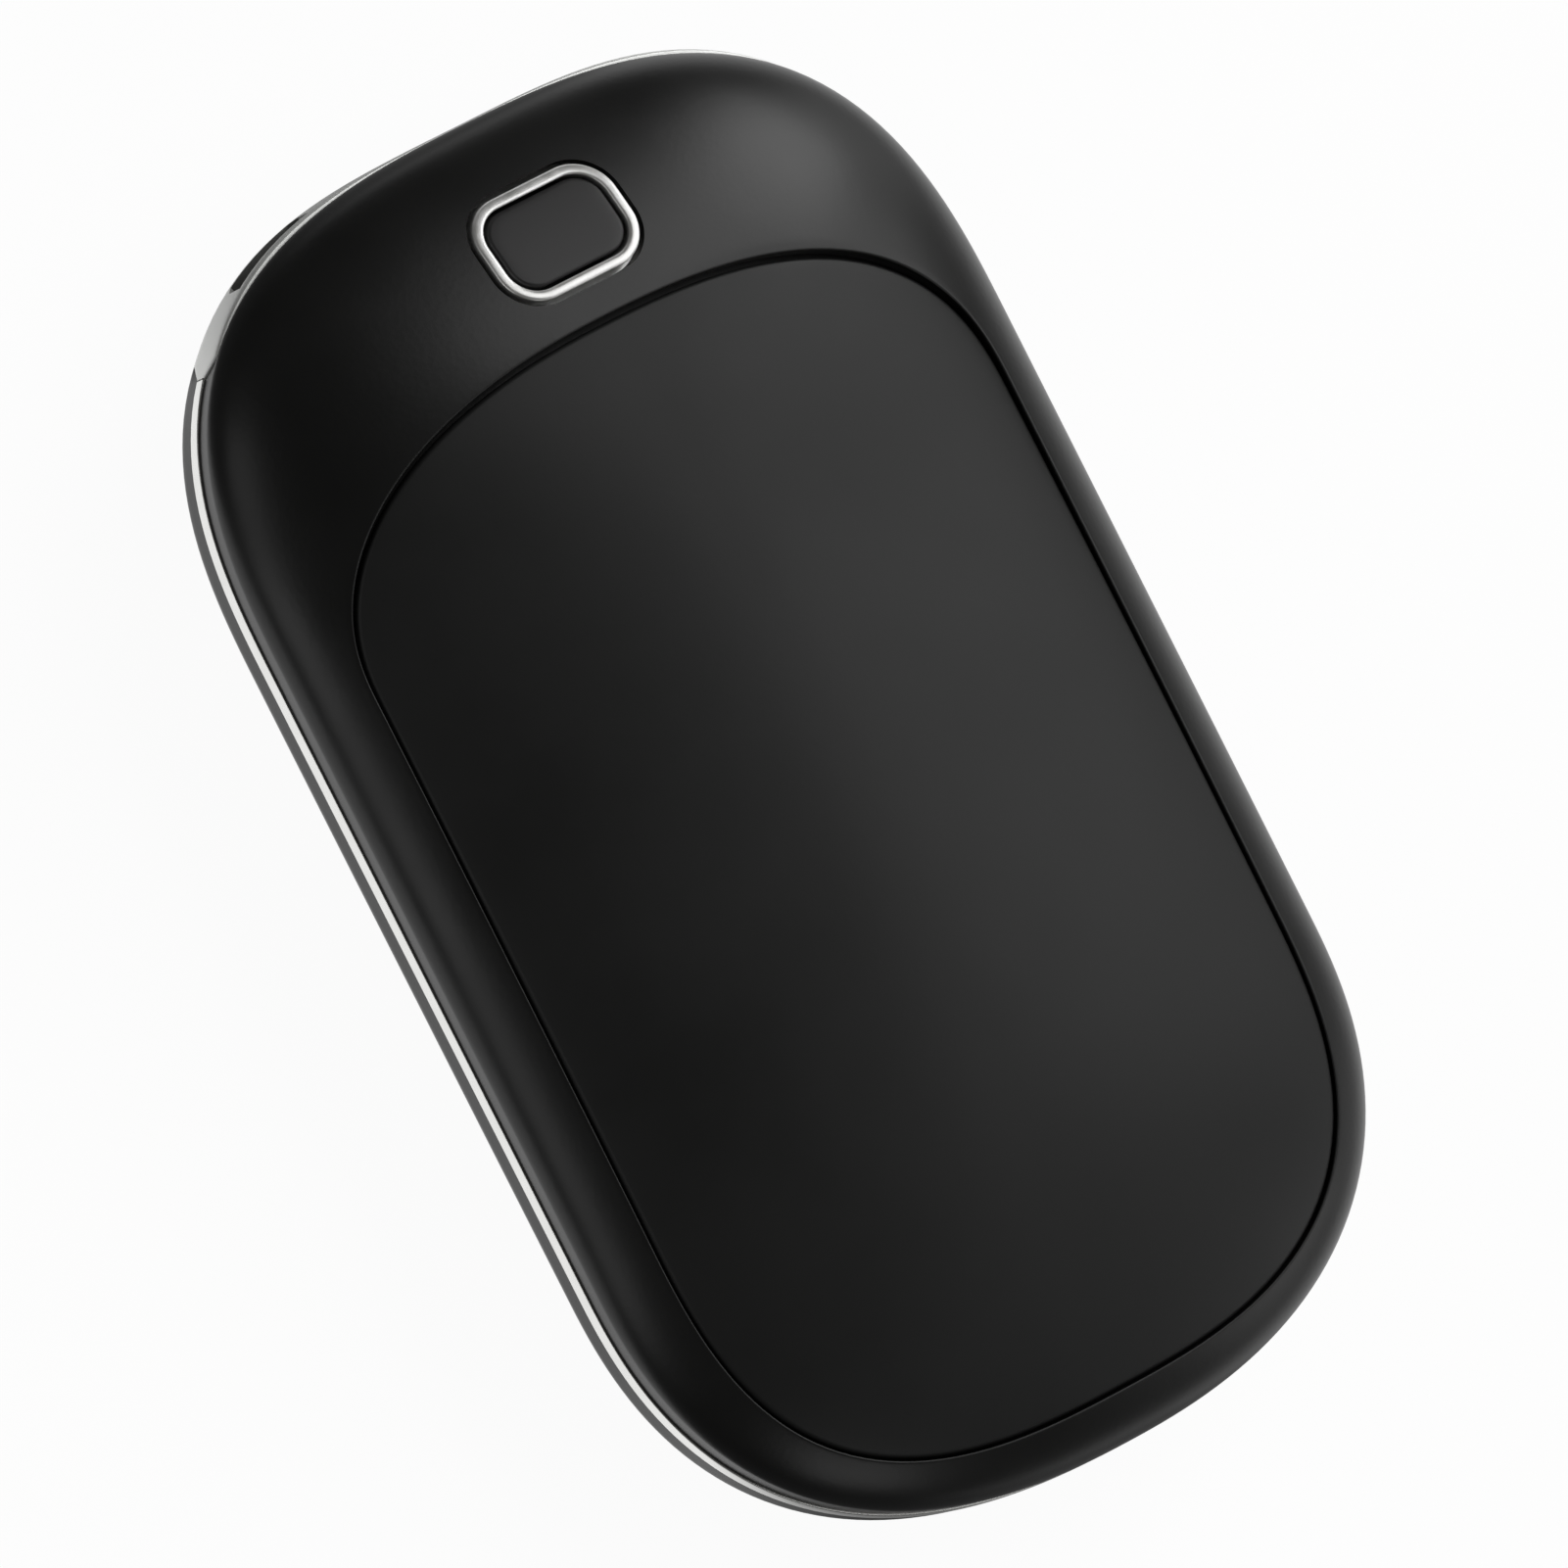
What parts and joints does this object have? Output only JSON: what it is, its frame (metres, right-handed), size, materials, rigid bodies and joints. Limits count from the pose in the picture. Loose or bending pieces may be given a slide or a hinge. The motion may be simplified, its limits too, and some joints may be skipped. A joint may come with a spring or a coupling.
{
  "type": "rechargeable hand warmer",
  "caption": "Pebble-shaped rechargeable hand warmer with a heat plate on each side, a bright trim band, a ringed button and a charging port in its end.",
  "frame": {"origin": "centre of the case seen from above, on the plane that it lies on", "axes": "+Z out of the front heat plate, +Y towards the end with the button and the charging port, +X across the case"},
  "size_m": [0.0622, 0.104, 0.0242],
  "materials": {
    "case_black": "fine-textured moulded ABS with a soft sheen",
    "plate_black": "aluminium with a matte soft-touch black coat",
    "trim_chrome": "bright plated plastic",
    "cap_silver": "satin silver plated plastic",
    "button_black": "moulded, satin",
    "heater_amber": "amber film with an etched heating track inside",
    "foam_cream": "soft closed-cell foam",
    "switch_black": "moulded",
    "plunger_red": "moulded",
    "cradle_white": "natural moulded ABS",
    "cell_blue": "shrink sleeve over a plain can",
    "bare_nickel": "nickel plated",
    "board_green": "solder mask over glass laminate",
    "ferrite_grey": "shielded ferrite",
    "led_white": "resin over phosphor",
    "guide_clear": "clear moulded acrylic",
    "lead_red": "silicone insulation",
    "lead_white": "silicone insulation"
  },
  "bodies": {
    "case": {"front_shell": "case_black", "rear_shell": "case_black", "trim_band": "trim_chrome", "port_cap": "cap_silver", "front_heat_plate": "plate_black", "rear_heat_plate": "plate_black", "front_heater_film": "heater_amber", "rear_heater_film": "heater_amber", "front_foam_pad": "foam_cream", "rear_foam_pad": "foam_cream", "button_bezel": "trim_chrome", "tact_switch": "switch_black", "cell_cradle": "cradle_white", "left_cell": "cell_blue", "right_cell": "cell_blue", "cell_tabs": "bare_nickel", "circuit_board": "board_green", "charge_socket": "bare_nickel", "socket_tongue": "switch_black", "power_inductor": "ferrite_grey", "control_chips": "switch_black", "status_leds": "led_white", "light_guide": "guide_clear", "thermistor": "switch_black", "battery_leads": "lead_red", "heater_leads": "lead_white", "case_screws": "bare_nickel"},
    "button": {"button_cap": "button_black"},
    "switch": {"switch_plunger": "plunger_red"}
  },
  "joints": [
    {"name": "button_press", "type": "slide", "parent": "case", "child": "button", "axis": [0, 0, -1], "range_m": [0, 0.0003], "stiffness_N_per_m": 6000},
    {"name": "switch_press", "type": "slide", "parent": "case", "child": "switch", "axis": [0, 0, -1], "range_m": [0, 0.0003]}
  ],
  "couplings": [
    {"joint": "switch_press", "follows": "button_press", "ratio": 1}
  ]
}
